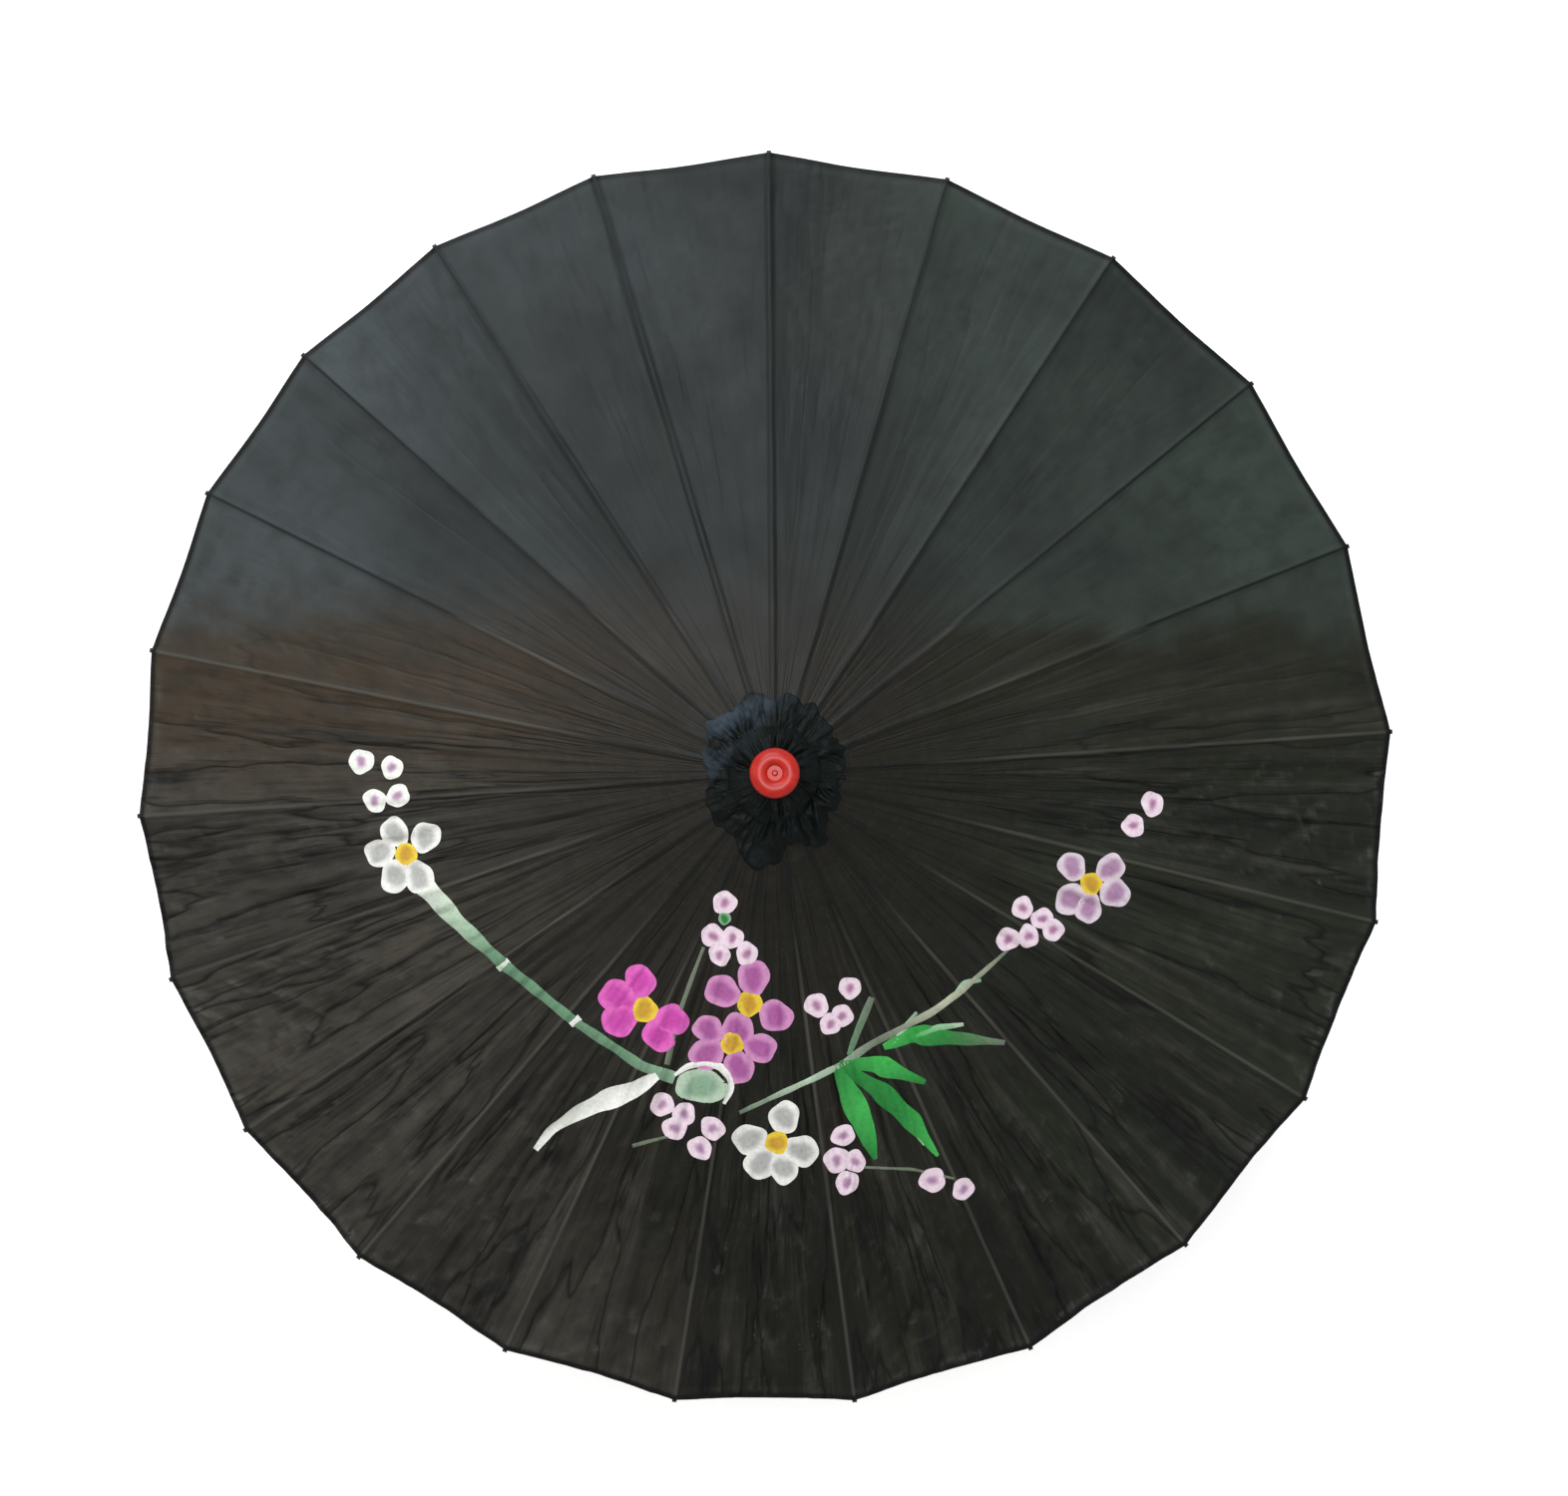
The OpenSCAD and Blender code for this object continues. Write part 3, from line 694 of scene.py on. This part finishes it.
def compose():
    """Blossom on thin twigs around a stem of bamboo with a few leaves, on the side opposite +Y."""
    p = Painting()
    # the bamboo stem and what grows from it
    p.start_coat(STEM_COAT)
    p.stroke([(-228, -62), (-216, -74), (-200, -92), (-169, -120), (-124, -156), (-82, -184), (-61, -192)],
             (15, 11, 7.5, 6.5, 6, 6, 8), (WHITE, PALE, GREEN, GREEN, GREEN, GREEN, MINT))
    p.stroke([(-173, -123), (-166, -117)], (4, 4), (PALE, WHITE))
    p.stroke([(-127, -158), (-121, -153)], (4, 4), (WHITE, WHITE))
    p.stroke([(-66, -183), (-59, -152), (-49, -124), (-43, -108)], (3.5, 3, 2), (SAGE, SAGE))
    p.stroke([(-72, -190), (-86, -199), (-104, -206), (-123, -215), (-140, -226), (-150, -239)],
             (5, 12, 13, 9, 6, 4), (WHITE, WHITE, BONE, WHITE))
    # the twig on the right
    p.stroke([(-20, -214), (12, -199), (45, -183), (63, -170), (102, -150), (122, -135), (150, -111)],
             (2.5, 3.5, 4, 5, 4, 5, 3.5, 2), (SAGE, PALE, SAGE, STRAW, SAGE))
    p.stroke([(114, -142), (123, -131), (133, -130)], (2, 5, 2), (PALE, MINT))
    p.stroke([(77, -170), (84, -160), (92, -150)], (2, 4, 2), (PALE, MINT))
    p.stroke([(49, -177), (55, -160), (63, -140)], (3, 5, 4), (GREEN, SAGE))
    p.stroke([(41, -183), (49, -200), (59, -222), (67, -245)], (4, 15, 14, 3), (LEAF, LIME, LEAF))
    p.stroke([(47, -186), (69, -200), (90, -220), (107, -243)], (5, 13, 12, 2), (LEAF, LEAF, LIME))
    p.stroke([(43, -183), (67, -183), (98, -195)], (5, 13, 3), (LEAF, LIME, LEAF))
    p.stroke([(47, -190), (55, -214), (64, -238)], (1, 2, 1), (FRESH, FRESH))
    p.stroke([(58, -192), (76, -208), (98, -236)], (1, 2, 1), (FRESH, FRESH))
    p.stroke([(71, -172), (90, -164), (108, -166), (149, -170)], (4, 13, 8, 3), (LIME, LEAF, SAGE))
    p.stroke([(90, -166), (106, -160), (122, -158)], (3, 5, 2), (LIME, PALE))
    p.stroke([(59, -250), (92, -252), (118, -258)], (1.5, 2, 1.5), (SAGE, SAGE))
    p.stroke([(-88, -236), (-63, -229)], (2.5, 2), (SAGE, SAGE))
    # blossoms
    p.start_coat(BLOSSOM_COAT)
    p.blossom(-80, -148, 18, (100, 155, 203, 300, 340), MAGENTA, CERISE)
    p.blossom(-14, -144, 17.5, (82, 155, 335, 245), PINK, PURPLE)
    p.blossom(-25, -169, 16.5, (150, 205, 285, 350), PINK, PURPLE)
    p.blossom(-232, -50, 16, (40, 118, 178, 245, 300), WHITE, ASH)
    p.blossom(204, -69, 16, (38, 139, 217, 265, 340), LILAC, MAUVE)
    p.blossom(4, -234, 17, (75, 172, 232, 285, 342), WHITE, ASH)
    # buds
    p.start_coat(BUD_COAT)
    p.dab(-44, -197, 17, PALE, MINT, 0.64, -0.1)
    p.stroke([(-61, -190), (-53, -184), (-42, -182), (-32, -184), (-26, -191), (-25, -199), (-30, -208)],
             (2, 4, 4, 5, 4, 2), (WHITE, WHITE))
    white_buds = [(-261, 9), (-241, 5), (-252, -16), (-237, -13)]
    p.buds(white_buds, 8, WHITE, MAUVE)
    rosy_buds = [(-30, -80), (245, -18), (232, -32)]
    p.buds(rosy_buds, 8, BLUSH, ROSE)
    p.dab(-30, -90, 4, MINT, LEAF)
    twig_buds = [(-37, -101), (-25, -102), (-33, -113), (-16, -112), (49, -134), (28, -145), (44, -152),
                 (37, -157), (159, -84), (150, -104), (163, -102), (172, -91), (179, -98)]
    p.buds(twig_buds, 7.4, BLUSH, ROSE)
    low_buds = [(-69, -209), (-55, -215), (-61, -224), (-37, -224), (-45, -237), (46, -229), (54, -246),
                (42, -245), (49, -260), (104, -259), (124, -265)]
    p.buds(low_buds, 8, BLUSH, MAUVE)
    return p


def cloth_tree(pieces):
    """A search tree of the cloth as built, so that paint lies on its facets."""
    points, faces, count = [], [], 0
    for piece in pieces.values():
        mesh = piece.data
        points += [v.co.copy() for v in mesh.vertices]
        faces += [[count + v for v in p.vertices] for p in mesh.polygons if p.normal.z > 0.3]
        count += len(mesh.vertices)
    return BVHTree.FromPolygons(points, faces)


def owner_of(xy):
    """Which piece of cloth each plan point lies on, as (rib, side)."""
    gore, off, _ = gore_of(xy)
    side = np.where(off < 0, 1, -1)
    rib = np.where(off < 0, gore, (gore + 1) % RIB_COUNT)
    return rib, np.where(rib_distance(xy) < STRIP_W, 0, side)


def build_painting(pieces):
    """Lays the painting on the cloth, cut along the pieces so that it folds with them."""
    art = compose()
    xy = np.vstack(art.points)
    colours, lifts, faces = np.vstack(art.colours), np.concatenate(art.lifts), np.array(art.faces)
    tree = cloth_tree(pieces)
    top = np.array([tree.ray_cast(Vector((x, y, 1)), Vector((0, 0, -1)))[0] for x, y in xy])
    up = cloth_normals(xy)
    points = top + up * lifts[:, None]
    rib, side = owner_of(xy[faces].mean(axis=1))
    for k, s in sorted(set(zip(rib.tolist(), side.tolist()))):
        mine = faces[(rib == k) & (side == s)]
        used, again = np.unique(mine, return_inverse=True)
        word = {0: "strip", 1: "left", -1: "right"}[s]
        name = f"paint_{k + 1:02d}_{word}"
        dabs = new_object(name, points[used], again.reshape(-1, 4), PAINT, up[used], None, colours[used])
        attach(dabs, f"rib_{k + 1:02d}")
        if s:
            fold_panel(dabs, k, s, half_angle(k, s))
        yield (k, s), dabs


def declare_cloth(pieces, painted):
    """Lists, for each panel, its paint, and for a left panel also its strip and the strip's paint; the lists
    are not kept.
    """
    for (k, side), panel in pieces.items():
        if side == 0:
            continue
        extra = [painted[k, side]] if (k, side) in painted else []
        if side > 0:
            extra.append(pieces[k, 0])
            extra += [painted[k, 0]] if (k, 0) in painted else []


# ---------------------------------------------------------------- the gathered cover at the crown

def cover_profile(t, r_rim):
    """Radius and height of the cover's upper face, t from 0 at the finial's foot to 1 at its rim."""
    knots_t = [0.0, 0.16, 0.36, 0.5, 0.72, 1.0]
    knots_r = [COVER_NECK_R, 0.0125, 0.0235, 0.0285, 0.037, COVER_R]
    r = np.interp(t, knots_t, knots_r) * (1 + (r_rim / COVER_R - 1) * t ** 2)
    knots_z = [0.0132, 0.0128, 0.0092, 0.0048]
    z = np.interp(t, knots_t[:4], knots_z) + HUB_Z
    return r, z


def build_cover():
    """Ragged pleats of cloth gathered under the finial, in one sector for each rib."""
    own, tucked, rings = 22, 3, 34
    spokes = own + tucked
    t = np.linspace(0, 1, rings)[:, None]
    for k in range(RIB_COUNT):
        left, right = half_angle(k, 1), half_angle(k, -1)
        turn = RIBS[k] + np.r_[np.linspace(-right, left, own), left + np.linspace(0.004, 0.06, tucked)]
        around = np.c_[np.cos(turn), np.sin(turn), np.zeros(spokes)]
        r_rim = COVER_R * (0.93 + 0.16 * np.sin(turn) ** 2 + 0.24 * fbm(around, 0.45, 3))
        r, z = cover_profile(t, r_rim)
        twisted = turn + 0.35 * t
        swirl = np.stack([np.cos(twisted), np.sin(twisted), np.broadcast_to(t * 0.5, twisted.shape)], -1)
        pleat = fbm(swirl.reshape(-1, 3), 0.36, 3).reshape(rings, spokes)
        tuck = np.abs(fbm(swirl.reshape(-1, 3) + 7, 0.45, 2)).reshape(rings, spokes)
        depth = 0.0055 * smooth(0.05, 0.35, t) * (1 - 0.45 * smooth(0.7, 1, t))
        xy = np.stack([r * np.cos(turn), r * np.sin(turn)], -1).reshape(-1, 2)
        on_cloth = cloth_height(xy).reshape(rings, spokes) + 0.0011
        body = np.where(t < 0.5, np.maximum(z, on_cloth), on_cloth)
        height = body + depth * (0.40 + 1.1 * pleat - 1.2 * tuck)
        height = np.maximum(height, np.where(t < 0.5, z + 0.0003, on_cloth))
        height[:, own:] -= TUCK
        yield k, np.c_[xy, height.ravel()], rings, spokes


def cover_sector(k, top, rings, spokes):
    points = np.r_[top, top - [0, 0, CLOTH_T]]
    made = new_object(f"crown_cover_{k + 1:02d}", points, closed_sheet(rings, spokes, True), COVER)
    out = direction(RIBS[k])
    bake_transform(made)
    return made


# ---------------------------------------------------------------- light, floor and camera

def add_area(name, place, aim, size, power, colour):
    light = bpy.data.lights.new(name, "AREA")
    light.shape = "DISK"
    light.size = size
    light.energy = power
    light.color = colour
    made = bpy.data.objects.new(name, light)
    made.location = place
    made.rotation_euler = (Vector(aim) - Vector(place)).to_track_quat("-Z", "Y").to_euler()
    bpy.context.scene.collection.objects.link(made)


def build_studio():
    mesh = bpy.data.meshes.new("floor")
    shape = bmesh.new()
    bmesh.ops.create_grid(shape, x_segments=1, y_segments=1, size=6)
    shape.to_mesh(mesh)
    shape.free()
    floor = bpy.data.objects.new("floor", mesh)
    floor.location = (0, 0, -0.002)
    mesh.materials.append(material("pale_floor", (0.93, 0.93, 0.925), 0.9, None, Emission_Color=(1, 1, 1, 1),
                                   Emission_Strength=0.45))
    bpy.context.scene.collection.objects.link(floor)
    world = bpy.data.worlds.new("studio")
    world.use_nodes = True
    world.node_tree.nodes["Background"].inputs[0].default_value = (0.95, 0.97, 1.0, 1)
    world.node_tree.nodes["Background"].inputs[1].default_value = 0.35
    bpy.context.scene.world = world
    middle = (0, 0, 0.42)
    add_area("overhead", (-0.1, 0.1, 3.6), middle, 1.3, 58, (1.0, 1.0, 1.0))
    add_area("sheen_far", (-0.5, 2.3, 2.9), middle, 2.3, 70, (0.86, 0.95, 1.0))
    add_area("warm_left", (-2.6, 0.2, 2.2), middle, 1.2, 12, (1.0, 0.86, 0.70))


def build_camera():
    """Straight down the stick from a little to the left of it and below, with +Y up in the picture."""
    camera = bpy.data.cameras.new("camera")
    made = bpy.data.objects.new("camera", camera)
    camera.sensor_width = 36
    camera.lens = 36 * 2.246
    aim = Vector((0.0101, 0.0189, 0.396))
    made.location = aim + Vector((-0.070, -0.055, 2.3))
    back = (made.location - aim).normalized()
    right = Vector((0, 1, 0)).cross(back).normalized()
    up = back.cross(right)
    made.rotation_mode = "QUATERNION"
    made.rotation_quaternion = Matrix((right, up, back)).transposed().to_quaternion()
    bpy.context.scene.collection.objects.link(made)
    bpy.context.scene.camera = made


# ---------------------------------------------------------------- build

def main():
    dress_frame()
    canopy = build_canopy()
    painted = dict(build_painting(canopy))
    declare_cloth(canopy, painted)
    sectors = [cover_sector(*parts) for parts in build_cover()]
    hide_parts("crown_cover")
    build_studio()
    build_camera()
    bpy.context.scene.view_settings.view_transform = "Standard"


main()
